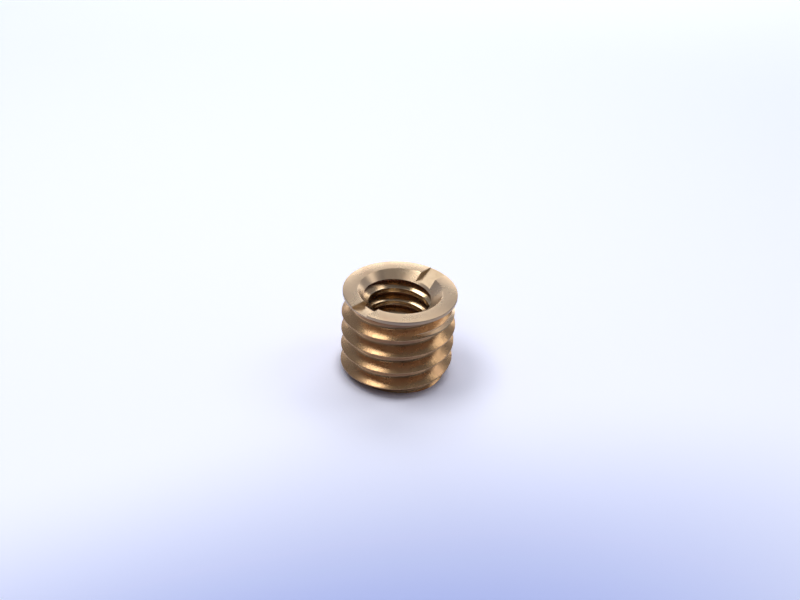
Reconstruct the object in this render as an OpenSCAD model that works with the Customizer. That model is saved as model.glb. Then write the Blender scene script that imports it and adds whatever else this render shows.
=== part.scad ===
// Reducer bushing: a one-piece turned brass sleeve that takes a 1/4 inch screw
// inside a 3/8 inch tapped hole.
// Millimetres, +Z up, origin at the centre of the lower end. The driving slot
// runs along X. The sleeve is bounded by the crests of its two threads: the
// outer crests lie on the outside wall, and the inner crests on the bore.

/* [Sleeve] */
// Overall height, lower end to top face
overall_h = 7.5; // [6.5:0.1:12]
// Outside diameter over the thread crests, 3/8 inch size
thread_d = 9.43; // [8.6:0.01:12]
// Lead-in chamfer at the lower end, the same in height and in radius
lead_in = 0.6; // [0.1:0.05:0.8]

/* [Head] */
// Thickness of the thin head rim
head_h = 0.29; // [0.2:0.01:0.6]
// How far the rim stands inside the thread crests, in radius
head_setback = 0.05; // [0:0.01:0.12]
// Edge break on the rim, top and bottom
rim_break = 0.04; // [0.02:0.01:0.08]
// Height of the relief between the thread and the rim
relief_h = 1.18; // [0.4:0.01:2]
// Depth of the relief below the thread crests, in radius
relief_depth = 0.31; // [0.15:0.01:0.5]

/* [Bore] */
// Bore diameter over the inner thread crests, 1/4 inch size
bore_d = 5.1; // [4.2:0.05:6.2]
// Depth of the 90 degree countersink in the top face
mouth_depth = 0.9; // [0.3:0.05:1.1]
// Depth of the 90 degree countersink in the lower end
foot_depth = 0.7; // [0.3:0.05:1]

/* [Driving slot] */
// Slot width
slot_w = 1.6; // [1:0.1:2.2]
// Depth of the slot at the middle of the cutter's arc
slot_depth = 0.95; // [0.6:0.05:1.3]
// Diameter of the slitting cutter, which leaves an arched floor
cutter_d = 26; // [20:1:40]
// How far the cutter's middle stands off the axis, towards -X
cutter_shift = 0.15; // [0:0.05:0.4]

/* [Hidden] */
$fn = 96;
BRASS = [0.80, 0.62, 0.34];
CLEARANCE = 1; // how far each cutting shape runs past the metal
thread_r = thread_d / 2;
bore_r = bore_d / 2;
rim_r = thread_r - head_setback;
relief_r = thread_r - relief_depth;
rim_z = overall_h - head_h;
relief_z = rim_z - relief_h;

// Half section of the turned blank, from the axis outwards
module blank_outline() {
    polygon([
        [0, 0],
        [thread_r - lead_in, 0],
        [thread_r, lead_in],
        [thread_r, relief_z - relief_depth],
        [relief_r, relief_z],
        [relief_r, rim_z],
        [rim_r - rim_break, rim_z],
        [rim_r, rim_z + rim_break],
        [rim_r, overall_h - rim_break],
        [rim_r - rim_break, overall_h],
        [0, overall_h]
    ]);
}

// Half section of what the drill and the two countersinks take out
module bore_outline() {
    polygon([
        [0, -CLEARANCE],
        [bore_r + foot_depth + CLEARANCE, -CLEARANCE],
        [bore_r, foot_depth],
        [bore_r, overall_h - mouth_depth],
        [bore_r + mouth_depth + CLEARANCE, overall_h + CLEARANCE],
        [0, overall_h + CLEARANCE]
    ]);
}

// The disc of the slitting cutter, sunk into the top face across the bore
module cutter_disc() {
    translate([-cutter_shift, 0, overall_h - slot_depth + cutter_d / 2])
        rotate([90, 0, 0])
            cylinder(h = slot_w, d = cutter_d, center = true, $fn = 180);
}

// The whole bushing, one solid
module bushing() {
    color(BRASS)
        difference() {
            rotate_extrude() blank_outline();
            rotate_extrude() bore_outline();
            cutter_disc();
        }
}

bushing();
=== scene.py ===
"""Looks of a brass reducer bushing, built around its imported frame.

The sleeve is turned from bar: a coarse thread outside, a finer one in the bore, a thin head rim no
wider than the thread, a countersunk mouth and a driving slot sawn across the top. Shapes are worked
out in millimetres and scaled to metres at the end.
"""

import logging
import math
from collections.abc import Mapping, Sequence
from dataclasses import dataclass, field
from enum import Enum

import bpy
import numpy as np
from mathutils import Matrix, Vector


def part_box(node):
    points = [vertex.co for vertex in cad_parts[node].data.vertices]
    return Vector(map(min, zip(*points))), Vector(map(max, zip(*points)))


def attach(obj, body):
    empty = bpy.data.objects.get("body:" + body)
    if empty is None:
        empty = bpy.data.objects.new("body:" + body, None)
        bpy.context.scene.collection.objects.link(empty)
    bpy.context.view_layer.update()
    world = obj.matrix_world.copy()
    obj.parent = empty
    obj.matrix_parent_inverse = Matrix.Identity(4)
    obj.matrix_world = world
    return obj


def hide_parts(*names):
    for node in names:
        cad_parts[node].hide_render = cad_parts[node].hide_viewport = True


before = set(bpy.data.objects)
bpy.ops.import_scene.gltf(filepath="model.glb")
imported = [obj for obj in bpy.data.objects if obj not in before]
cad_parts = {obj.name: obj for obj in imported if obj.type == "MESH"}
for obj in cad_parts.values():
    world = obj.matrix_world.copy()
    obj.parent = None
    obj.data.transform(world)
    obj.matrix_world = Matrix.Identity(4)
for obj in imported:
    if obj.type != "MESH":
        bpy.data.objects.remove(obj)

log = logging.getLogger("bushing")
METRE = 1.0
MM = 0.001
INCH = 25.4
NODE = "bushing"
BODY = "root"

Point2 = tuple[float, float]
Point3 = tuple[float, float, float]
Colour = tuple[float, float, float]
Input = bpy.types.NodeSocket | float | Sequence[float]


class Zone(Enum):
    """Which tool left a surface, numbered like the material slot of its finish."""

    TURNED = 0
    THREADED = 1
    TAPPED = 2
    SAWN = 3


class Cut(Enum):
    """How one solid is worked into another."""

    KEEP_COMMON = "INTERSECT"
    JOIN = "UNION"
    REMOVE = "DIFFERENCE"


class Carries(Enum):
    """What an input or output of a shared effect carries."""

    NUMBER = "NodeSocketFloat"
    VECTOR = "NodeSocketVector"


class Sum(Enum):
    """What is worked out from numbers."""

    ADD = "ADD"
    SUBTRACT = "SUBTRACT"
    MULTIPLY = "MULTIPLY"
    DIVIDE = "DIVIDE"
    MULTIPLY_ADD = "MULTIPLY_ADD"
    GREATER = "MAXIMUM"
    SINE = "SINE"
    COSINE = "COSINE"


class VectorSum(Enum):
    """What is worked out from vectors."""

    ADD = "ADD"
    MULTIPLY = "MULTIPLY"
    SCALE = "SCALE"
    DIRECTION = "NORMALIZE"
    LENGTH = "LENGTH"
    ALONG = "DOT_PRODUCT"


# ---------------------------------------------------------------- shader graphs


@dataclass(frozen=True)
class Noise:
    """Uneven patches that run from 0 to 1.

    Attributes:
        scale: how many patches lie along a unit of length.
        detail: how many finer layers are added.
        harsh: how strong each finer layer is.
        middle: the value it wavers about.
    """

    scale: float
    detail: float
    harsh: float
    middle: float = 0.5


def opaque(colour: Input) -> Input:
    """Return a colour of three numbers with its opacity added, and an output as it is."""
    return (*colour, 1.0) if isinstance(colour, tuple) else colour


def title(name: str) -> str:
    """Return an input's name as its socket shows it."""
    return name.replace("_", " ").title()


class Graph:
    """Adds nodes to one tree and joins them up.

    The sockets of a colour mix are told apart by number, because they share their names.
    """

    UNDER = 6
    OVER = 7
    TINTED = 2

    def __init__(self, tree: bpy.types.NodeTree) -> None:
        """Work on tree."""
        self.tree = tree

    def join(self, value: Input, socket: bpy.types.NodeSocket) -> None:
        """Feed one input.

        Args:
            value: a number or colour, or another node's output.
            socket: the input.
        """
        if isinstance(value, bpy.types.NodeSocket):
            self.tree.links.new(value, socket)
        else:
            socket.default_value = value

    def add(
        self, kind: str, wired: Mapping[str | int, Input] | None = None, **settings: object
    ) -> bpy.types.Node:
        """Add one node.

        Args:
            kind: the node's type, without the words it starts with.
            wired: a value, or another node's output, for each named or numbered input.
            settings: the node's own properties.

        Returns:
            The node.
        """
        node = self.tree.nodes.new(f"ShaderNode{kind}")
        for name, value in settings.items():
            setattr(node, name, value)
        for key, value in (wired or {}).items():
            self.join(value, node.inputs[key])
        return node

    def use(self, effect: bpy.types.NodeTree, **values: Input) -> bpy.types.NodeOutputs:
        """Place a shared effect.

        Args:
            effect: the effect.
            values: a value, or another node's output, for each of its inputs, named in lower case.

        Returns:
            The outputs of the effect.
        """
        wired = {title(name): value for name, value in values.items()}
        return self.add("Group", node_tree=effect, wired=wired).outputs

    def math(self, how: Sum, *terms: Input) -> bpy.types.NodeSocket:
        """Return the outcome of one sum of numbers."""
        return self.add("Math", dict(enumerate(terms)), operation=how.value).outputs["Value"]

    def vector(self, how: VectorSum, *terms: Input) -> bpy.types.NodeSocket:
        """Return the outcome of one sum of vectors.

        Args:
            how: the kind of sum.
            terms: its vectors; to scale, a vector and a number.

        Returns:
            A number if the sum gives a number, or else a vector.
        """
        wired = dict(enumerate(terms))
        if how is VectorSum.SCALE:
            wired = {0: terms[0], "Scale": terms[1]}
        given = "Value" if how in (VectorSum.LENGTH, VectorSum.ALONG) else "Vector"
        return self.add("VectorMath", wired, operation=how.value).outputs[given]

    def split(self, value: Input) -> bpy.types.NodeOutputs:
        """Return the X, Y and Z of a vector."""
        return self.add("SeparateXYZ", {"Vector": value}).outputs

    def step(self, value: Input, low: Input, high: Input) -> bpy.types.NodeSocket:
        """Return 0 below low, 1 above high and an easy curve between them."""
        wired = {"Value": value, "From Min": low, "From Max": high}
        return self.add("MapRange", wired, interpolation_type="SMOOTHSTEP").outputs["Result"]

    def spread(self, value: Input, low: Input, high: Input) -> bpy.types.NodeSocket:
        """Return low for a value of 0 and high for a value of 1."""
        return self.add("MapRange", {"Value": value, "To Min": low, "To Max": high}).outputs["Result"]

    def tint(self, amount: Input, under: Input, over: Input) -> bpy.types.NodeSocket:
        """Return the colour under, covered by the colour over by amount."""
        wired = {"Factor": amount, self.UNDER: opaque(under), self.OVER: opaque(over)}
        return self.add("Mix", wired, data_type="RGBA").outputs[self.TINTED]

    def noise(self, place: Input, look: Noise) -> bpy.types.NodeSocket:
        """Return a noise at place."""
        wired = {"Vector": place, "Scale": look.scale, "Detail": look.detail, "Roughness": look.harsh}
        return self.add("TexNoise", wired).outputs["Fac"]

    def millimetres(self) -> bpy.types.NodeSocket:
        """Return where a point of the surface lies, in millimetres."""
        return self.vector(VectorSum.SCALE, self.add("TexCoord").outputs["Object"], 1 / MM)


class Effect(Graph):
    """A shared effect, with named inputs and outputs."""

    def __init__(self, name: str, takes: dict[str, Carries], gives: dict[str, Carries]) -> None:
        """Begin the effect.

        Args:
            name: what the effect is called.
            takes: what each named input carries.
            gives: what each named output carries.
        """
        super().__init__(bpy.data.node_groups.new(name, "ShaderNodeTree"))
        for label, kind in takes.items():
            self.tree.interface.new_socket(label, in_out="INPUT", socket_type=kind.value)
        for label, kind in gives.items():
            self.tree.interface.new_socket(label, in_out="OUTPUT", socket_type=kind.value)
        self.taken = self.tree.nodes.new("NodeGroupInput").outputs
        self.given = self.tree.nodes.new("NodeGroupOutput").inputs

    def finish(self, **values: bpy.types.NodeSocket) -> bpy.types.NodeTree:
        """Join the outputs.

        Args:
            values: the socket that feeds each output, named in lower case.

        Returns:
            The effect.
        """
        for name, value in values.items():
            self.join(value, self.given[title(name)])
        return self.tree


@dataclass(frozen=True)
class Stain:
    """Patches of one kind of stain.

    Attributes:
        noise: what spreads the patches, by the millimetre.
        bare: noise up to which the metal stays bare.
        full: noise from which the stain is at its strongest.
    """

    noise: Noise
    bare: float
    full: float


@dataclass
class Effects:
    """The effects that the brass finishes share, each built once.

    Attributes:
        tarnish: broad patches where the metal has dulled.
        blush: broad patches where it has turned coppery.
        specks: small dark spots.
        grain: the fine unevenness of the metal, by the millimetre.
        fray: what frays the edge of a band, by the millimetre.
        scratch: what tells one tool line from the next, by the line.
        drift: what changes slowly over many lines.
        drift_scale: how fast it changes round the part (X and Y) and from line to line (Z).
        shift: how far the blush and the specks are moved off the tarnish, in millimetres.
    """

    tarnish: Stain = Stain(Noise(scale=0.55, detail=4.0, harsh=0.6), bare=0.38, full=0.66)
    blush: Stain = Stain(Noise(scale=0.42, detail=3.0, harsh=0.55), bare=0.56, full=0.74)
    specks: Stain = Stain(Noise(scale=4.5, detail=2.0, harsh=0.5), bare=0.74, full=0.80)
    grain: Noise = Noise(scale=7.5, detail=3.0, harsh=0.65)
    fray: Noise = Noise(scale=3.2, detail=4.0, harsh=0.65)
    scratch: Noise = Noise(scale=1.0, detail=3.0, harsh=0.6)
    drift: Noise = Noise(scale=1.0, detail=1.0, harsh=0.5)
    drift_scale: Point3 = (1.7, 1.7, 0.16)
    shift: Point3 = (17.3, -5.1, 9.7)

    def __post_init__(self) -> None:
        """Build the effects."""
        self.axis = self.axis_place()
        self.lines = self.tool_lines()
        self.stains = self.brass_stains()
        self.band = self.worn_band()

    def axis_place(self) -> bpy.types.NodeTree:
        """Build the effect that tells where a point lies about the part's axis.

        Returns:
            The effect: the point, its radius and its height in millimetres, and its direction
            from the axis.
        """
        gives = {
            "Place": Carries.VECTOR,
            "Radius": Carries.NUMBER,
            "Height": Carries.NUMBER,
            "Around": Carries.VECTOR,
        }
        graph = Effect("axis_place", {}, gives)
        place = graph.millimetres()
        parts = graph.split(place)
        flat = graph.add("CombineXYZ", {"X": parts["X"], "Y": parts["Y"]}).outputs["Vector"]
        radius = graph.vector(VectorSum.LENGTH, flat)
        around = graph.vector(VectorSum.DIRECTION, flat)
        return graph.finish(place=place, radius=radius, height=parts["Z"], around=around)

    def tool_lines(self) -> bpy.types.NodeTree:
        """Build the effect that draws the fine lines a cutting edge leaves along its path.

        Returns:
            The effect: the lines, and their slow drift.
        """
        takes = {
            "Across": Carries.NUMBER,
            "Around": Carries.VECTOR,
            "Spacing": Carries.NUMBER,
            "Waver": Carries.NUMBER,
        }
        graph = Effect("tool_lines", takes, {"Lines": Carries.NUMBER, "Drift": Carries.NUMBER})
        count = graph.math(Sum.DIVIDE, graph.taken["Across"], graph.taken["Spacing"])
        along = graph.vector(VectorSum.SCALE, graph.taken["Around"], graph.taken["Waver"])
        line = graph.add("CombineXYZ", {"Z": count}).outputs["Vector"]
        place = graph.vector(VectorSum.ADD, along, line)
        broad = graph.vector(VectorSum.MULTIPLY, place, self.drift_scale)
        return graph.finish(lines=graph.noise(place, self.scratch), drift=graph.noise(broad, self.drift))

    def brass_stains(self) -> bpy.types.NodeTree:
        """Build the effect that mottles bare brass.

        Returns:
            The effect: tarnish, blush, specks and grain.
        """
        names = ("Tarnish", "Blush", "Specks", "Grain")
        graph = Effect("brass_stains", {"Place": Carries.VECTOR}, dict.fromkeys(names, Carries.NUMBER))
        place = graph.taken["Place"]
        moved = graph.vector(VectorSum.ADD, place, self.shift)
        stained = [
            graph.step(graph.noise(where, stain.noise), stain.bare, stain.full)
            for where, stain in ((place, self.tarnish), (moved, self.blush), (moved, self.specks))
        ]
        tarnish, blush, specks = stained
        grain = graph.noise(place, self.grain)
        return graph.finish(tarnish=tarnish, blush=blush, specks=specks, grain=grain)

    def worn_band(self) -> bpy.types.NodeTree:
        """Build the effect that fades a mask in between two values, with a frayed edge.

        Returns:
            The effect: the mask.
        """
        takes = {
            "Value": Carries.NUMBER,
            "Start": Carries.NUMBER,
            "End": Carries.NUMBER,
            "Place": Carries.VECTOR,
            "Ragged": Carries.NUMBER,
        }
        graph = Effect("worn_band", takes, {"Band": Carries.NUMBER})
        noise = graph.noise(graph.taken["Place"], self.fray)
        frayed = graph.math(Sum.SUBTRACT, noise, self.fray.middle)
        moved = graph.math(Sum.MULTIPLY_ADD, frayed, graph.taken["Ragged"], graph.taken["Value"])
        return graph.finish(band=graph.step(moved, graph.taken["Start"], graph.taken["End"]))


class BrassGraph(Graph):
    """The graph of a brass material, with the shared effects at hand."""

    def __init__(self, tree: bpy.types.NodeTree, effects: Effects) -> None:
        """Begin the graph.

        Args:
            tree: the material's tree.
            effects: the effects that the finishes share.
        """
        super().__init__(tree)
        self.effects = effects
        self.axis = self.use(effects.axis)
        self.stains = self.use(effects.stains, place=self.axis["Place"])


# ---------------------------------------------------------------- finishes


@dataclass(frozen=True)
class Cover:
    """What lies on the bare metal.

    Attributes:
        amount: how much of it there is, from 0 to 1 over the surface.
        colour: its colour.
        rougher: how much roughness it adds.
    """

    amount: Input
    colour: Colour
    rougher: float = 0.0


@dataclass(frozen=True, kw_only=True)
class BrassFinish:
    """Bare brass as one tool leaves it.

    Attributes:
        name: the material's name.
        colour: the clean metal, darkened as painted shade in the threaded finish.
        dull: the metal under a light tarnish.
        skin_and_painted_light: the surface that was there before the tool, partly painted light: painted
            shade on the rim's side, the lower chamfer and the outer crests, a painted highlight on the
            bore's crests.
        blush: the metal where it has turned coppery.
        speck: the dark spots.
        tarnish_amount, blush_amount, speck_amount, skin_and_light_amount: how much of each shows.
        skin_and_light_r: radii between which the skin and its painted light set in.
        ragged: how far the edge of the skin and its painted light strays, in millimetres.
        roughness: from the smoothest to the roughest spot.
        drift_share, tarnish_share: how much of that spread follows the lines and the tarnish.
        spacing: distance between tool lines in millimetres.
        waver: how soon a line ends as it goes round.
        line_depth, grain_depth: depth of the lines and of the grain in metres.
        chatter_depth, chatter_spacing, chatter_waver: depth, distance and waver of the waves that
            a chattering tool leaves.
        anisotropic: how much the lines stretch a highlight.
        anisotropic_turn: part of a turn that lays the stretch across the lines.
    """

    name: str
    colour: Colour
    dull: Colour
    skin_and_painted_light: Colour
    blush: Colour = (0.62, 0.36, 0.22)
    speck: Colour = (0.16, 0.11, 0.08)
    tarnish_amount: float = 0.8
    blush_amount: float = 0.35
    speck_amount: float = 0.6
    skin_and_light_amount: float = 0.9
    skin_and_light_r: Point2 = (4.60, 4.66)
    ragged: float = 0.02
    roughness: Point2
    drift_share: float = 0.6
    tarnish_share: float = 0.4
    spacing: float
    waver: float
    line_depth: float
    grain_depth: float
    chatter_depth: float = 0.0
    chatter_spacing: float = 0.7
    chatter_waver: float = 13.0
    anisotropic: float
    anisotropic_turn: float = 0.25

    def across(self, graph: BrassGraph) -> bpy.types.NodeSocket:
        """Return the distance across the tool lines: outward on flat faces and upward on walls."""
        return graph.math(Sum.ADD, graph.axis["Radius"], graph.axis["Height"])

    def lines(self, graph: BrassGraph, spacing: float, waver: float) -> bpy.types.NodeOutputs:
        """Return the lines that lie spacing apart and end by waver."""
        across, around = self.across(graph), graph.axis["Around"]
        return graph.use(graph.effects.lines, across=across, around=around, spacing=spacing, waver=waver)

    def banded(self, graph: BrassGraph, radii: Point2, amount: float) -> bpy.types.NodeSocket:
        """Work out a mask that depends on the radius.

        Args:
            graph: the material's graph.
            radii: where the mask starts and where it is full, which may lie further in.
            amount: the mask's value where it is full.

        Returns:
            The mask.
        """
        sign = math.copysign(1.0, radii[1] - radii[0])
        found = graph.use(
            graph.effects.band,
            value=graph.math(Sum.MULTIPLY, graph.axis["Radius"], sign),
            start=sign * radii[0],
            end=sign * radii[1],
            place=graph.axis["Place"],
            ragged=self.ragged,
        )
        return graph.math(Sum.MULTIPLY, found["Band"], amount)

    def covers(self, graph: BrassGraph) -> list[Cover]:
        """Return what lies on the metal: the skin that the tool didn't reach, which also carries painted
        light.
        """
        return [Cover(self.banded(graph, self.skin_and_light_r, self.skin_and_light_amount), self.skin_and_painted_light)]

    def coloured(self, graph: BrassGraph, covers: Sequence[Cover]) -> bpy.types.NodeSocket:
        """Work out the colour.

        Args:
            graph: the material's graph.
            covers: what lies on the metal.

        Returns:
            The colour over the surface.
        """
        tarnish = graph.math(Sum.MULTIPLY, graph.stains["Tarnish"], self.tarnish_amount)
        blush = graph.math(Sum.MULTIPLY, graph.stains["Blush"], self.blush_amount)
        specks = graph.math(Sum.MULTIPLY, graph.stains["Specks"], self.speck_amount)
        layers = [Cover(tarnish, self.dull), Cover(blush, self.blush), *covers, Cover(specks, self.speck)]
        colour: Input = self.colour
        for layer in layers:
            colour = graph.tint(layer.amount, colour, layer.colour)
        return colour

    def roughened(
        self, graph: BrassGraph, drift: bpy.types.NodeSocket, covers: Sequence[Cover]
    ) -> bpy.types.NodeSocket:
        """Work out the roughness.

        Args:
            graph: the material's graph.
            drift: the slow drift of the tool lines.
            covers: what lies on the metal.

        Returns:
            The roughness over the surface.
        """
        stained = graph.math(Sum.MULTIPLY, graph.stains["Tarnish"], self.tarnish_share)
        uneven = graph.math(Sum.MULTIPLY_ADD, drift, self.drift_share, stained)
        roughness = graph.spread(uneven, *self.roughness)
        for cover in covers:
            if cover.rougher:
                roughness = graph.math(Sum.MULTIPLY_ADD, cover.amount, cover.rougher, roughness)
        return roughness

    def relief(self, graph: BrassGraph, lines: bpy.types.NodeSocket) -> bpy.types.NodeSocket:
        """Work out the height of lines, grain and chatter.

        Args:
            graph: the material's graph.
            lines: the tool lines.

        Returns:
            The height over the surface, in metres.
        """
        height = graph.math(Sum.MULTIPLY, lines, self.line_depth)
        height = graph.math(Sum.MULTIPLY_ADD, graph.stains["Grain"], self.grain_depth, height)
        if self.chatter_depth:
            chatter = self.lines(graph, self.chatter_spacing, self.chatter_waver)
            height = graph.math(Sum.MULTIPLY_ADD, chatter["Lines"], self.chatter_depth, height)
        return height

    def material(self, effects: Effects) -> bpy.types.Material:
        """Build the material.

        Args:
            effects: the effects that the finishes share.

        Returns:
            The material.
        """
        made = bpy.data.materials.new(self.name)
        made.use_nodes = True
        graph = BrassGraph(made.node_tree, effects)
        lines = self.lines(graph, self.spacing, self.waver)
        covers = self.covers(graph)
        bump = graph.add("Bump", {"Height": self.relief(graph, lines["Lines"]), "Distance": METRE})
        tangent = graph.add("Tangent", direction_type="RADIAL", axis="Z")
        values = {
            "Base Color": self.coloured(graph, covers),
            "Roughness": self.roughened(graph, lines["Drift"], covers),
            "Normal": bump.outputs["Normal"],
            "Tangent": tangent.outputs["Tangent"],
            "Metallic": 1.0,
            "Anisotropic": self.anisotropic,
            "Anisotropic Rotation": self.anisotropic_turn,
        }
        shader = made.node_tree.nodes["Principled BSDF"]
        for name, value in values.items():
            graph.join(value, shader.inputs[name])
        return made


@dataclass(frozen=True, kw_only=True)
class ThreadFinish(BrassFinish):
    """Brass cut to a thread: its lines follow the helix, its groove is grimy, and painted shade darkens
    faces that are steep or face down.

    Attributes:
        pitch: axial distance from ridge to ridge.
        grime_and_shade: the oil and oxide that stay in the groove, whose colour is also painted as shade
            on steep and downward faces.
        grimy_r: radii between which grime fills in.
        grimy_amount: how much grime lies deep in the groove.
        painted_shade_amount: how much painted shade lies on what is steep or faces down.
        painted_shade_from, painted_shade_to: upward share of a face's direction where that painted shade
            sets in and where it is full.
        grime_and_shade_rougher: how much roughness the grime and the painted shade add.
        ragged: how far the edges of grime and of the skin with its painted light stray, in millimetres.
    """

    pitch: float
    grime_and_shade: Colour
    grimy_r: Point2
    grimy_amount: float = 0.9
    painted_shade_amount: float = 0.0
    painted_shade_from: float = 0.6
    painted_shade_to: float = 0.05
    grime_and_shade_rougher: float = 0.1
    ragged: float = 0.25

    def across(self, graph: BrassGraph) -> bpy.types.NodeSocket:
        """Work out the distance across the helix, which comes round to the same value each turn.

        Args:
            graph: the material's graph.

        Returns:
            The distance over the surface, in millimetres.
        """
        angle = graph.math(Sum.MULTIPLY, graph.axis["Height"], 2 * math.pi / self.pitch)
        parts = graph.split(graph.axis["Around"])
        even = graph.math(Sum.MULTIPLY, graph.math(Sum.COSINE, angle), parts["X"])
        wave = graph.math(Sum.MULTIPLY_ADD, graph.math(Sum.SINE, angle), parts["Y"], even)
        quarter = self.pitch / 4
        return graph.math(Sum.MULTIPLY_ADD, wave, quarter, graph.axis["Radius"])

    def grime_and_shade_mask(self, graph: BrassGraph) -> bpy.types.NodeSocket:
        """Work out where grime stays deep in the groove, and where painted shade darkens a face that is
        steep or faces down.

        Args:
            graph: the material's graph.

        Returns:
            The amount of grime and painted shade over the surface.
        """
        deep = self.banded(graph, self.grimy_r, self.grimy_amount)
        if not self.painted_shade_amount:
            return deep
        # Painted shade: faces that stand steep or point down are darkened by their direction.
        up = graph.split(graph.add("TexCoord").outputs["Normal"])["Z"]
        facing_down_shade = graph.step(graph.math(Sum.MULTIPLY, up, -1.0), -self.painted_shade_from, -self.painted_shade_to)
        return graph.math(Sum.GREATER, deep, graph.math(Sum.MULTIPLY, facing_down_shade, self.painted_shade_amount))

    def covers(self, graph: BrassGraph) -> list[Cover]:
        """Return what lies on the metal: grime with painted shade, and the skin along the crest, which is
        partly painted shade.
        """
        return [Cover(self.grime_and_shade_mask(graph), self.grime_and_shade, self.grime_and_shade_rougher), *super().covers(graph)]


@dataclass(frozen=True, kw_only=True)
class SawnFinish(BrassFinish):
    """Brass cut by a slitting cutter: its lines are arcs about the cutter's axis.

    Attributes:
        axis_x, axis_z: where the cutter's axis crosses the plane along the slot.
    """

    axis_x: float
    axis_z: float

    def across(self, graph: BrassGraph) -> bpy.types.NodeSocket:
        """Work out the distance from the cutter's axis, and across the slot on its floor.

        Args:
            graph: the material's graph.

        Returns:
            The distance over the surface, in millimetres.
        """
        parts = graph.split(graph.axis["Place"])
        along = graph.math(Sum.SUBTRACT, parts["X"], self.axis_x)
        up = graph.math(Sum.SUBTRACT, parts["Z"], self.axis_z)
        arm = graph.add("CombineXYZ", {"X": along, "Y": up}).outputs["Vector"]
        return graph.math(Sum.ADD, graph.vector(VectorSum.LENGTH, arm), parts["Y"])


# ---------------------------------------------------------------- outlines and solids


def filleted(corners: Sequence[Point3], steps: int = 4) -> list[Point2]:
    """Round the corners of an open outline.

    Args:
        corners: (u, v, fillet radius) from one end of the outline to the other.
        steps: straight pieces in each fillet.

    Returns:
        The points of the outline, with an arc at each corner that has a radius.
    """
    points: list[Point2] = []
    for i, (u, v, radius) in enumerate(corners):
        if radius <= 0 or i in (0, len(corners) - 1):
            points.append((u, v))
            continue
        here = Vector((u, v))
        before = (Vector(corners[i - 1][:2]) - here).normalized()
        after = (Vector(corners[i + 1][:2]) - here).normalized()
        half = before.angle(after) / 2
        centre = here + (before + after).normalized() * (radius / math.sin(half))
        start = here + before * (radius / math.tan(half)) - centre
        end = here + after * (radius / math.tan(half)) - centre
        sweep = start.angle_signed(end)
        for k in range(steps + 1):
            turned = Matrix.Rotation(-sweep * k / steps, 2) @ start
            points.append(tuple(centre + turned))
    return points


def smoothstep(value: np.ndarray, low: float, high: float) -> np.ndarray:
    """Return 0 below low, 1 above high and an easy curve between them."""
    t = np.clip((value - low) / (high - low), 0, 1)
    return t * t * (3 - 2 * t)


@dataclass
class Solid:
    """A closed surface, all of one zone.

    Attributes:
        points: its points in millimetres, one to a row.
        faces: the points of each face, counter-clockwise from outside.
        zone: the tool that leaves the surface.
    """

    points: np.ndarray
    faces: list[tuple[int, ...]]
    zone: Zone

    def as_object(self, name: str) -> bpy.types.Object:
        """Make an object of this surface.

        Args:
            name: the object's name.

        Returns:
            The object, linked to the scene.
        """
        mesh = bpy.data.meshes.new(name)
        mesh.from_pydata(self.points.tolist(), [], self.faces)
        for _ in Zone:
            mesh.materials.append(None)
        mesh.polygons.foreach_set("material_index", [self.zone.value] * len(mesh.polygons))
        mesh.update()
        made = bpy.data.objects.new(name, mesh)
        bpy.context.scene.collection.objects.link(made)
        return made


def lathe(outline: Sequence[Point2], segments: int = 256) -> Solid:
    """Turn a half section about Z.

    Args:
        outline: (radius, height) points from the axis at the low end to the axis at the high end.
        segments: facets round the axis.

    Returns:
        The turned solid.
    """
    angles = np.linspace(0, 2 * math.pi, segments, endpoint=False)
    ring = np.column_stack([np.cos(angles), np.sin(angles)])
    walls = outline[1:-1]
    points = [np.column_stack([ring * r, np.full(segments, z)]) for r, z in walls]
    low, high = len(walls) * segments, len(walls) * segments + 1
    ends = np.array([[0, 0, outline[0][1]], [0, 0, outline[-1][1]]])
    faces: list[tuple[int, ...]] = []
    top = (len(walls) - 1) * segments
    for j in range(segments):
        k = (j + 1) % segments
        faces.append((low, k, j))
        faces.append((high, top + j, top + k))
        for i in range(len(walls) - 1):
            a, b = i * segments, (i + 1) * segments
            faces.append((a + j, a + k, b + k, b + j))
    return Solid(np.vstack([*points, ends]), faces, Zone.TURNED)


def prism(front: Sequence[Point3], back: Sequence[Point3]) -> Solid:
    """Join two outlines into a sawn solid.

    Args:
        front: the points of one end, clockwise from outside.
        back: the points of the other end, in the same order.

    Returns:
        The solid.
    """
    count = len(front)
    faces: list[tuple[int, ...]] = [tuple(range(count))[::-1], tuple(range(count, 2 * count))]
    for i in range(count):
        k = (i + 1) % count
        faces.append((i, k, count + k, count + i))
    return Solid(np.array([*front, *back]), faces, Zone.SAWN)


# ---------------------------------------------------------------- threads


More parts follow.
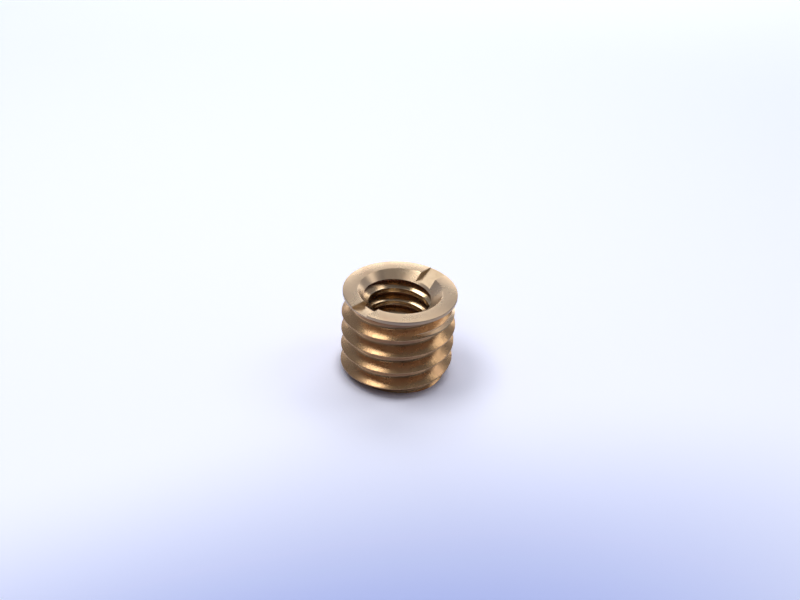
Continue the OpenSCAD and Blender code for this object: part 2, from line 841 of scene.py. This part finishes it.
@dataclass(frozen=True)
class ThreadForm:
    """A right-hand 60 degree thread, as the threaded rod that fills it.

    Attributes:
        pitch: axial distance from ridge to ridge.
        ridge_r: radius over the rod's ridges.
        root_r: radius at the bottom of its grooves.
        ridge_flat: axial width of the flat on a ridge, before its corners are rounded.
        ridge_round: radius on the corners of a ridge.
        root_round: radius in the corners of a groove.
        ridge_height: height of the middle of a ridge where the helix crosses +X.
        zone: the finish of the surface.
        segments: facets in a turn.
        runout: turns between which the last groove rises to nothing, counted like the ridge's
            height from where the helix crosses +X.
        flank_slope: how far a flank moves along the axis as it goes outward by one.
        spare_turns: turns of the rod past each end.
    """

    pitch: float
    ridge_r: float
    root_r: float
    ridge_flat: float
    ridge_round: float
    root_round: float
    ridge_height: float
    zone: Zone
    segments: int = 240
    runout: Point2 | None = None
    flank_slope: float = math.tan(math.radians(30))
    spare_turns: int = 2

    def section(self) -> list[Point2]:
        """Draw the rod's surface over one pitch.

        Returns:
            (height, radius) points from mid-groove up to mid-groove.
        """
        ridge = self.ridge_flat / 2
        foot = ridge + (self.ridge_r - self.root_r) * self.flank_slope
        middle = (ridge + foot) / 2
        middle_r = (self.ridge_r + self.root_r) / 2
        rising = filleted(
            [
                (-self.pitch / 2, self.root_r, 0),
                (-foot, self.root_r, self.root_round),
                (-middle, middle_r, 0),
                (-ridge, self.ridge_r, self.ridge_round),
                (0, self.ridge_r, 0),
            ]
        )
        falling = [(-w, r) for w, r in reversed(rising[:-1])]
        return rising + falling

    def rod(self, low: float, high: float) -> Solid:
        """Wind the section into a rod.

        Args:
            low: height below which the rod may be plain.
            high: height above which it may be plain.

        Returns:
            The rod, which reaches past both heights.
        """
        section = self.section()[:-1]
        m, n = len(section), self.segments
        start = math.floor((low - self.ridge_height) / self.pitch) - self.spare_turns
        rows = (math.ceil((high - low) / self.pitch) + 2 * self.spare_turns) * n
        turns = np.arange(rows + 1)[:, None] / n
        w = np.array([p[0] for p in section])
        r = np.array([p[1] for p in section])
        z = self.ridge_height + (start + turns) * self.pitch + w
        angle = turns * 2 * math.pi
        if self.runout:
            groove = start + turns + np.where(w < 0, -1 / 2, 1 / 2)
            r = r + (self.ridge_r - r) * smoothstep(groove, *self.runout)
        wall = np.stack([r * np.cos(angle), r * np.sin(angle), z], axis=2).reshape(-1, 3)
        faces: list[tuple[int, ...]] = []
        for j in range(rows):
            for i in range(m - 1):
                a, b = j * m + i, (j + 1) * m + i
                faces.append((a, b, b + 1, a + 1))
            if j + n < rows:
                a, b = j * m + m - 1, (j + 1) * m + m - 1
                faces.append((a, b, (j + 1 + n) * m, (j + n) * m))
        below = [j * m for j in range(n + 1)] + list(range(m - 1, 0, -1))
        above = [j * m + m - 1 for j in range(rows - n, rows + 1)]
        above += [rows * m + i for i in range(m - 2, -1, -1)]
        foot, head = len(wall), len(wall) + 1
        for loop, tip, order in ((below, foot, -1), (above, head, 1)):
            for a, b in zip(loop, loop[1:] + loop[:1]):
                faces.append((tip, a, b)[::order])
        tips = np.array([[0, 0, z.min() - self.pitch], [0, 0, z.max() + self.pitch]])
        return Solid(np.vstack([wall, tips]), faces, self.zone)


# ---------------------------------------------------------------- blank, countersinks and slot


@dataclass(frozen=True)
class Sleeve:
    """The turned blank.

    Attributes:
        height: lower end to top face.
        thread_r: radius over the outer crests.
        lead_in: chamfer at the lower end.
        head_h: thickness of the head rim.
        head_setback: how far the rim stands inside the crests.
        edge_round: radius on the edges of the rim.
        relief_h: height of the relief under the rim.
        relief_depth: how deep the relief lies below the crests.
        shoulder_h: height of the slope from the crests in to the relief.
        shoulder_round: radius where that slope starts.
        spare: how far the blank stands outside the crests before the thread is cut.
        overlap: how far the part below the rim reaches into it.
        fillet_steps: straight pieces in each fillet below the rim.
    """

    height: float
    thread_r: float
    lead_in: float = 0.6
    head_h: float = 0.29
    head_setback: float = 0.05
    edge_round: float = 0.04
    relief_h: float = 1.10
    relief_depth: float = 0.35
    shoulder_h: float = 0.14
    shoulder_round: float = 0.1
    spare: float = 0.005
    overlap: float = 0.1
    fillet_steps: int = 8

    @property
    def rim_z(self) -> float:
        """Height of the rim's underside."""
        return self.height - self.head_h

    def shank(self) -> Solid:
        """Turn the part below the rim.

        Returns:
            The shank, stout enough outside for a thread to be cut from it.
        """
        wide = self.thread_r + self.spare
        relief_r = self.thread_r - self.relief_depth
        relief_z = self.rim_z - self.relief_h
        outline = [
            (0, 0, 0),
            (self.thread_r - self.lead_in, 0, self.edge_round),
            (wide, self.lead_in + self.spare, 0),
            (wide, relief_z - self.shoulder_h, self.shoulder_round),
            (relief_r, relief_z, self.edge_round),
            (relief_r, self.rim_z + self.overlap, 0),
            (0, self.rim_z + self.overlap, 0),
        ]
        return lathe(filleted(outline, self.fillet_steps))

    def rim(self) -> Solid:
        """Turn the thin head.

        Returns:
            The rim.
        """
        r = self.thread_r - self.head_setback
        outline = [
            (0, self.rim_z, 0),
            (r, self.rim_z, self.edge_round),
            (r, self.height, self.edge_round),
            (0, self.height, 0),
        ]
        return lathe(filleted(outline))


@dataclass(frozen=True)
class Countersinks:
    """The two 90 degree cones at the ends of the bore.

    Attributes:
        height: lower end to top face.
        bore_r: radius of the bore over its crests.
        mouth_depth: depth at which the cone in the top face meets the bore.
        foot_depth: the same for the cone in the lower end.
        edge_round: radius on the outer edge of a cone.
        lift: how far the lip that rounds that edge clears the end face.
        reach: radius of the lip.
        spare: thickness of the lip.
    """

    height: float
    bore_r: float
    mouth_depth: float = 0.9
    foot_depth: float = 0.7
    edge_round: float = 0.06
    lift: float = 0.001
    reach: float = 6.0
    spare: float = 0.5

    def mouth(self) -> Solid:
        """Turn the cone sunk into the top face.

        Returns:
            The cone, with a lip that rounds its outer edge.
        """
        lip = self.height + self.lift
        tip = lip - self.mouth_depth - self.bore_r
        outline = [
            (0, tip, 0),
            (lip - tip, lip, self.edge_round),
            (self.reach, lip, 0),
            (self.reach, lip + self.spare, 0),
            (0, lip + self.spare, 0),
        ]
        return lathe(filleted(outline))

    def foot(self) -> Solid:
        """Turn the cone sunk into the lower end.

        Returns:
            The cone, with the same lip.
        """
        tip = self.foot_depth + self.bore_r - self.lift
        outline = [
            (0, -self.lift - self.spare, 0),
            (self.reach, -self.lift - self.spare, 0),
            (self.reach, -self.lift, 0),
            (tip + self.lift, -self.lift, self.edge_round),
            (0, tip, 0),
        ]
        return lathe(filleted(outline))


@dataclass(frozen=True)
class DrivingSlot:
    """The slot that a slitting cutter leaves across the head, along X.

    Attributes:
        height: lower end to top face.
        width: from wall to wall.
        depth: from the top face to the lowest point of the floor.
        cutter_r: radius of the cutter.
        cutter_shift: how far its axis stands off the part's axis, towards -X.
        edge_break: how far the slot's edges are broken at the top face.
        reach: how far the cut runs to each side.
        spare: how far it reaches above the top face.
        steps: straight pieces in the floor.
    """

    height: float
    width: float = 1.6
    depth: float = 0.95
    cutter_r: float = 13.0
    cutter_shift: float = 0.15
    edge_break: float = 0.035
    reach: float = 6.0
    spare: float = 1.0
    steps: int = 96

    @property
    def cutter_z(self) -> float:
        """Height of the cutter's axis."""
        return self.height - self.depth + self.cutter_r

    def disc(self) -> Solid:
        """Shape the stretch of the cutter that meets the head.

        Returns:
            The stretch, open upwards past the top face.
        """
        half = math.asin(self.reach / self.cutter_r)
        angles = np.linspace(half, -half, self.steps + 1)
        x = self.cutter_r * np.sin(angles) - self.cutter_shift
        z = self.cutter_z - self.cutter_r * np.cos(angles)
        top = max(z.max(), self.height) + self.spare
        outline = [*zip(x, z), (x[-1], top), (x[0], top)]
        sides = [[(u, y, v) for u, v in outline] for y in (-self.width / 2, self.width / 2)]
        return prism(*sides)

    def edges(self) -> Solid:
        """Shape the shallow trough that breaks the slot's edges at the top face.

        Returns:
            The trough.
        """
        half = self.width / 2
        low, top = self.height - self.edge_break, self.height + self.spare
        wide = half + self.edge_break + self.spare
        section = [(-half, low), (half, low), (wide, top), (-wide, top)]
        ends = [[(x, y, z) for y, z in section] for x in (-self.reach, self.reach)]
        return prism(*ends)


# ---------------------------------------------------------------- the bushing


@dataclass
class Bushing:
    """The whole part: one piece of brass.

    Attributes:
        low, high: corners of the plain node it stands for, in metres.
        thread_r: radius over the outer crests.
        groove_r: radius at the bottom of the outer groove.
        ridges_per_inch: of the outer thread.
        bore_r: radius of the bore over its crests.
        bore_groove_r: radius at the bottom of its groove.
        bore_ridges_per_inch: of the inner thread.
        smooth_below: steepest turn from facet to facet that is shaded smooth, in radians.
        tools: the solids that work on the blank, in order.
    """

    low: Vector
    high: Vector
    thread_r: float = 4.71
    groove_r: float = 3.82
    ridges_per_inch: int = 16
    bore_r: float = 2.55
    bore_groove_r: float = 3.2
    bore_ridges_per_inch: int = 20
    smooth_below: float = math.radians(24)
    tools: list[bpy.types.Object] = field(default_factory=list)

    def __post_init__(self) -> None:
        """Work out the parts of the shape from the node's box."""
        height = round((self.high.z - self.low.z) / MM, ndigits=2)
        self.sleeve = Sleeve(height=height, thread_r=self.thread_r)
        self.countersinks = Countersinks(height=height, bore_r=self.bore_r)
        self.slot = DrivingSlot(height=height)
        self.outer = ThreadForm(
            pitch=INCH / self.ridges_per_inch,
            ridge_r=self.thread_r,
            root_r=self.groove_r,
            ridge_flat=0.09,
            ridge_round=0.025,
            root_round=0.30,
            ridge_height=0.04,
            zone=Zone.THREADED,
            runout=(4.26, 4.46),
        )
        self.inner = ThreadForm(
            pitch=INCH / self.bore_ridges_per_inch,
            ridge_r=self.bore_groove_r,
            root_r=self.bore_r,
            ridge_flat=0.13,
            ridge_round=0.06,
            root_round=0.05,
            ridge_height=-0.0025,
            zone=Zone.TAPPED,
            segments=200,
        )

    def work(self, body: bpy.types.Object, tool: Solid, how: Cut) -> None:
        """Add one step to the making of the body.

        Args:
            body: the blank.
            tool: the solid that works on it.
            how: whether the tool cuts it or joins it.
        """
        maker = tool.as_object(f"tool_{len(self.tools)}")
        self.tools.append(maker)
        step = body.modifiers.new(maker.name, "BOOLEAN")
        step.operation = how.value
        step.solver = "MANIFOLD"
        step.object = maker

    def build(self) -> bpy.types.Object:
        """Make the piece.

        Returns:
            The finished mesh, in metres, riding on the frame in place of its plain node.
        """
        body = self.sleeve.shank().as_object("bushing_body")
        self.work(body, self.outer.rod(0, self.sleeve.height), Cut.KEEP_COMMON)
        self.work(body, self.sleeve.rim(), Cut.JOIN)
        self.work(body, self.inner.rod(0, self.sleeve.height), Cut.REMOVE)
        self.work(body, self.countersinks.mouth(), Cut.REMOVE)
        self.work(body, self.countersinks.foot(), Cut.REMOVE)
        self.work(body, self.slot.disc(), Cut.REMOVE)
        self.work(body, self.slot.edges(), Cut.REMOVE)
        bpy.context.view_layer.update()
        graph = bpy.context.evaluated_depsgraph_get()
        mesh = bpy.data.meshes.new_from_object(body.evaluated_get(graph))
        body.modifiers.clear()
        body.data = mesh
        for tool in self.tools:
            bpy.data.objects.remove(tool)
        mesh.transform(Matrix.Diagonal((MM, MM, MM, 1)))
        mesh.polygons.foreach_set("use_smooth", [True] * len(mesh.polygons))
        mesh.set_sharp_from_angle(angle=self.smooth_below)
        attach(body, BODY)
        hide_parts(NODE)
        return body

    def finishes(self) -> dict[Zone, BrassFinish]:
        """Size the finishes to the part.

        Returns:
            The finish of each zone.
        """
        outer, inner = self.outer, self.inner
        return {
            Zone.TURNED: BrassFinish(
                name="turned_brass",
                colour=(0.83, 0.63, 0.425),
                dull=(0.73, 0.535, 0.355),
                # partly painted shade: this dark skin on the rim's side and the lower chamfer's outer
                # edge deepens the contact shadow and dims the paper's reflection there
                skin_and_painted_light=(0.30, 0.22, 0.15),
                speck_amount=0.12,
                roughness=(0.24, 0.34),
                spacing=0.11,
                waver=1.2,
                line_depth=1.1e-6,
                grain_depth=0.25e-6,
                anisotropic=0.6,
            ),
            Zone.THREADED: ThreadFinish(
                name="threaded_brass",
                # painted shade: the thread's colours are a darker copy of the turned brass, for the light
                # its grooves lose between the ridges
                colour=(0.58, 0.365, 0.19),
                dull=(0.475, 0.29, 0.155),
                # painted shade: this darker skin dims the outer crests
                skin_and_painted_light=(0.38, 0.24, 0.13),
                skin_and_light_r=(outer.ridge_r - 0.03, outer.ridge_r - 0.005),
                roughness=(0.20, 0.34),
                spacing=0.10,
                waver=4.0,
                line_depth=1.6e-6,
                grain_depth=2.4e-6,
                chatter_depth=9.0e-6,
                anisotropic=0.3,
                pitch=outer.pitch,
                grime_and_shade=(0.25, 0.135, 0.075),
                grimy_r=(outer.root_r + 0.34, outer.root_r + 0.10),
                grimy_amount=0.05,
                # painted shade on the thread's steep and downward faces, crest flats included
                painted_shade_amount=0.85,
            ),
            Zone.TAPPED: ThreadFinish(
                name="tapped_brass",
                colour=(0.80, 0.58, 0.34),
                dull=(0.62, 0.42, 0.25),
                # painted highlight: this lighter skin brightens the bore's crests, as if polished
                skin_and_painted_light=(0.86, 0.68, 0.45),
                skin_and_light_r=(inner.root_r + 0.12, inner.root_r + 0.01),
                roughness=(0.12, 0.26),
                spacing=0.05,
                waver=3.0,
                line_depth=1.5e-6,
                grain_depth=1.5e-6,
                chatter_depth=4.0e-6,
                anisotropic=0.3,
                pitch=inner.pitch,
                grime_and_shade=(0.36, 0.20, 0.15),
                grimy_r=(inner.root_r + 0.30, inner.ridge_r - 0.05),
            ),
            Zone.SAWN: SawnFinish(
                name="sawn_brass",
                colour=(0.76, 0.59, 0.40),
                dull=(0.63, 0.46, 0.29),
                skin_and_painted_light=(0.86, 0.71, 0.52),
                roughness=(0.26, 0.40),
                spacing=0.07,
                waver=0.6,
                line_depth=2.0e-6,
                grain_depth=1.0e-6,
                anisotropic=0.2,
                axis_x=-self.slot.cutter_shift,
                axis_z=self.slot.cutter_z,
            ),
        }

    def dress(self, body: bpy.types.Object) -> None:
        """Put each zone's finish in its material slot.

        Args:
            body: the finished mesh.
        """
        effects = Effects()
        for zone, finish in self.finishes().items():
            body.data.materials[zone.value] = finish.material(effects)
            log.info("%s: %s", body.name, finish.name)


# ---------------------------------------------------------------- studio


@dataclass(frozen=True)
class ViewCamera:
    """The camera, placed by where it aims and where that aim lies in the frame.

    Attributes:
        distance: from the aim point to the lens, in millimetres.
        aim_height: height of the aim point on the part's axis, in millimetres.
        azimuth: degrees round from -Y.
        elevation: degrees above the floor.
        roll: degrees that the frame is turned.
        focal_px: focal length in pixels of the frame.
        aim_px: where the aim point lies in the frame.
        frame_px: the frame's width and height.
        sensor_mm: width of the sensor.
        clip: nearest and furthest distance seen, in metres.
    """

    distance: float = 65.336
    aim_height: float = 4.0
    azimuth: float = -48.2
    elevation: float = 34.708
    roll: float = -3.877
    focal_px: float = 785.18
    aim_px: Point2 = (398.01, 325.58)
    frame_px: Point2 = (800, 600)
    sensor_mm: float = 36.0
    clip: Point2 = (0.001, 10.0)

    def build(self) -> bpy.types.Object:
        """Set up the camera.

        Returns:
            The camera, set as the scene's own.
        """
        data = bpy.data.cameras.new("view_camera")
        data.sensor_fit = "HORIZONTAL"
        data.sensor_width = self.sensor_mm
        data.lens = self.focal_px / self.frame_px[0] * self.sensor_mm
        data.clip_start, data.clip_end = self.clip
        made = bpy.data.objects.new("view_camera", data)
        bpy.context.scene.collection.objects.link(made)
        a, e = math.radians(self.azimuth), math.radians(self.elevation)
        back = Vector((math.sin(a) * math.cos(e), -math.cos(a) * math.cos(e), math.sin(e)))
        right = Vector((math.cos(a), math.sin(a), 0))
        basis = Matrix((right, back.cross(right), back)).transposed()
        across = (self.aim_px[0] - self.frame_px[0] / 2) / self.focal_px
        up = -(self.aim_px[1] - self.frame_px[1] / 2) / self.focal_px
        yaw = math.atan(across)
        pitch = math.atan(up * math.cos(yaw))
        turn = (
            basis
            @ Matrix.Rotation(-math.radians(self.roll), 3, "Z")
            @ Matrix.Rotation(-pitch, 3, "X")
            @ Matrix.Rotation(yaw, 3, "Y")
        )
        place = (Vector((0, 0, self.aim_height)) + back * self.distance) * MM
        made.matrix_world = Matrix.Translation(place) @ turn.to_4x4()
        bpy.context.scene.camera = made
        return made


@dataclass(frozen=True)
class Softbox:
    """A flat soft lamp that faces the part.

    Attributes:
        name: the lamp's name.
        azimuth: degrees round from +X.
        elevation: degrees above the floor.
        half_width, half_height: half its size in degrees, as seen from the part.
        glow: brightness of its face.
        distance: from the part in metres.
        aim_height: height it faces, in metres.
        colour: colour of its light.
    """

    name: str
    azimuth: float
    elevation: float
    half_width: float
    half_height: float
    glow: float
    distance: float = 0.3
    aim_height: float = 0.005
    colour: Colour = (1.0, 0.985, 0.955)

    def build(self) -> bpy.types.Object:
        """Set up the lamp.

        Returns:
            The lamp.
        """
        data = bpy.data.lights.new(self.name, "AREA")
        data.color = self.colour
        data.shape = "RECTANGLE"
        data.size = 2 * self.distance * math.tan(math.radians(self.half_width))
        data.size_y = 2 * self.distance * math.tan(math.radians(self.half_height))
        data.energy = self.glow * math.pi * data.size * data.size_y
        made = bpy.data.objects.new(self.name, data)
        bpy.context.scene.collection.objects.link(made)
        a, e = math.radians(self.azimuth), math.radians(self.elevation)
        back = Vector((math.cos(a) * math.cos(e), math.sin(a) * math.cos(e), math.sin(e)))
        side = Vector((-math.sin(a), math.cos(a), 0))
        basis = Matrix((side, back.cross(side), back)).transposed()
        place = back * self.distance + Vector((0, 0, self.aim_height))
        made.matrix_world = Matrix.Translation(place) @ basis.to_4x4()
        return made


@dataclass(frozen=True)
class Room:
    """A pale room, dimmer on the side the part is looked at from.

    Attributes:
        colour: colour of its walls.
        level: their brightness at the height of the part.
        fall: how much of the level is lost towards the ceiling.
        dim: how much of the level is lost on the dim side.
        dim_azimuth: where the dim side lies, in degrees round from +X.
    """

    colour: Colour = (0.80, 0.84, 1.0)
    level: float = 0.50
    fall: float = 0.74
    dim: float = 0.9
    dim_azimuth: float = 228.8

    def build(self) -> None:
        """Set the room as the scene's world."""
        world = bpy.data.worlds.new("room")
        world.use_nodes = True
        graph = Graph(world.node_tree)
        a = math.radians(self.dim_azimuth)
        way = graph.add("TexCoord").outputs["Generated"]
        towards = graph.vector(VectorSum.ALONG, way, (math.cos(a), math.sin(a), 0))
        dimmed = graph.math(Sum.GREATER, towards, 0.0)
        side = graph.math(Sum.MULTIPLY_ADD, dimmed, -self.dim, 1.0)
        above = graph.math(Sum.MULTIPLY_ADD, graph.split(way)["Z"], -self.fall, 1.0)
        level = graph.math(Sum.MULTIPLY, graph.math(Sum.MULTIPLY, side, above), self.level)
        shader = world.node_tree.nodes["Background"]
        graph.join(opaque(self.colour), shader.inputs["Color"])
        graph.join(level, shader.inputs["Strength"])
        bpy.context.scene.world = world


@dataclass(frozen=True)
class Paper:
    """The pale paper the part stands on, with a faint blue cast in front of the part.

    Attributes:
        size: length of a side in metres.
        colour: colour of the paper close to the part.
        far_shaded_colour: its colour far from the part, darker as a painted falloff of light.
        falloff_radii: from where the painted falloff starts to where the paper is its far shaded colour,
            in millimetres.
        contact: how far from the part its contact shadow reaches, in metres.
        contact_open: shares of open sky between which that shadow fades out.
        contact_rays: how many rays look for the sky.
        front_shade: its colour where the painted bluish shade in front of the part is strongest.
        shade: its colour where it touches the part.
        front_shade_centre: the middle of that painted shade in millimetres.
        front_shade_size: how far it reaches along its length and its width, in millimetres.
        front_shade_core: share of that reach over which it is at its strongest.
        front_shade_turn: degrees it is turned round from +X.
        lift: how much brighter the paper is where it is seen than where it lights the part.
    """

    size: float = 2.0
    colour: Colour = (0.83, 0.858, 1.0)
    far_shaded_colour: Colour = (0.745, 0.785, 0.85)
    falloff_radii: Point2 = (0.0, 120.0)
    contact: float = 0.0011
    contact_open: Point2 = (0.1, 0.9)
    contact_rays: int = 2
    front_shade: Colour = (0.26, 0.335, 0.70)
    shade: Colour = (0.10, 0.075, 0.085)
    front_shade_centre: Point2 = (-44.0, -19.3)
    front_shade_size: Point2 = (75.0, 31.5)
    front_shade_core: float = 0.24
    front_shade_turn: float = -20.0
    lift: float = 1.82

    def build(self) -> bpy.types.Object:
        """Lay out the paper.

        Returns:
            The paper, marked as not being part of the object.
        """
        half = self.size / 2
        corners = [(-half, -half, 0), (half, -half, 0), (half, half, 0), (-half, half, 0)]
        mesh = bpy.data.meshes.new("paper")
        mesh.from_pydata(corners, [], [(0, 1, 2, 3)])
        mesh.materials.append(self.material())
        made = bpy.data.objects.new("paper", mesh)
        bpy.context.scene.collection.objects.link(made)
        return made

    def front_shade_amount(self, graph: Graph, place: bpy.types.NodeSocket) -> bpy.types.NodeSocket:
        """Work out how strong the painted bluish shade in front of the part is.

        Args:
            graph: the material's graph.
            place: where a point lies, in millimetres.

        Returns:
            The painted shade over the paper, from 0 to 1.
        """
        wired = {
            "Vector": place,
            "Location": (*self.front_shade_centre, 0),
            "Rotation": (0, 0, math.radians(self.front_shade_turn)),
            "Scale": (*self.front_shade_size, 1),
        }
        moved = graph.add("Mapping", wired, vector_type="TEXTURE").outputs["Vector"]
        away = graph.vector(VectorSum.LENGTH, moved)
        return graph.math(Sum.SUBTRACT, 1.0, graph.step(away, self.front_shade_core, 1.0))

    def seen(self, graph: Graph) -> bpy.types.NodeSocket:
        """Tell where the paper is looked at, straight or in a reflection.

        Args:
            graph: the material's graph.

        Returns:
            1 where it is looked at, and 0 where it only lights the part.
        """
        ray = graph.add("LightPath").outputs
        looked_at = graph.math(Sum.GREATER, ray["Is Camera Ray"], ray["Is Glossy Ray"])
        return graph.math(Sum.GREATER, looked_at, ray["Is Transmission Ray"])

    def material(self) -> bpy.types.Material:
        """Build the paper's material.

        Returns:
            The material.
        """
        made = bpy.data.materials.new("paper")
        made.use_nodes = True
        nodes = made.node_tree.nodes
        graph = Graph(made.node_tree)
        place = graph.millimetres()
        away = graph.vector(VectorSum.LENGTH, place)
        wired = {"Distance": self.contact}
        open_sky = graph.add("AmbientOcclusion", wired, samples=self.contact_rays).outputs["AO"]
        hidden = graph.math(Sum.SUBTRACT, 1.0, graph.step(open_sky, *self.contact_open))
        # Painted falloff of light: the paper darkens away from the part.
        colour = graph.tint(graph.step(away, *self.falloff_radii), self.colour, self.far_shaded_colour)
        # Painted shade: a darker bluish patch on the paper in front of the part.
        colour = graph.tint(self.front_shade_amount(graph, place), colour, self.front_shade)
        colour = graph.tint(hidden, colour, self.shade)
        lifted = graph.vector(VectorSum.SCALE, colour, graph.spread(self.seen(graph), 1.0, self.lift))
        matte = graph.add("BsdfDiffuse", {"Color": lifted})
        nodes.remove(nodes["Principled BSDF"])
        graph.join(matte.outputs["BSDF"], nodes["Material Output"].inputs["Surface"])
        return made


@dataclass(frozen=True)
class Studio:
    """Pale paper, a pale room and soft lamps.

    Attributes:
        paper: what the part stands on.
        room: what surrounds it.
        lamps: what lights it.
    """

    paper: Paper = Paper()
    room: Room = Room()
    lamps: tuple[Softbox, ...] = (
        Softbox("back_lamp", azimuth=40.0, elevation=54, half_width=24, half_height=9, glow=1.4),
        Softbox("low_back_lamp", azimuth=38.8, elevation=19, half_width=35, half_height=7, glow=2.3),
        Softbox("right_lamp", azimuth=330.8, elevation=46, half_width=8, half_height=11, glow=1.75),
        Softbox("left_lamp", azimuth=126.8, elevation=66, half_width=14, half_height=10, glow=4.4),
        Softbox("side_lamp", azimuth=190.8, elevation=52, half_width=12, half_height=6, glow=1.29),
        Softbox("front_lamp", azimuth=236.8, elevation=60, half_width=30, half_height=10, glow=0.35),
    )

    def build(self) -> None:
        """Set up the studio."""
        self.paper.build()
        self.room.build()
        for lamp in self.lamps:
            lamp.build()


def main() -> None:
    """Build everything in order."""
    logging.basicConfig(level=logging.INFO, format="%(name)s: %(message)s")
    bpy.context.scene.view_settings.view_transform = "Standard"
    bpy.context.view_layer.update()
    part = Bushing(*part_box(NODE))
    body = part.build()
    part.dress(body)
    log.info("%s: %d faces", body.name, len(body.data.polygons))
    Studio().build()
    ViewCamera().build()


if __name__ == "__main__":
    main()
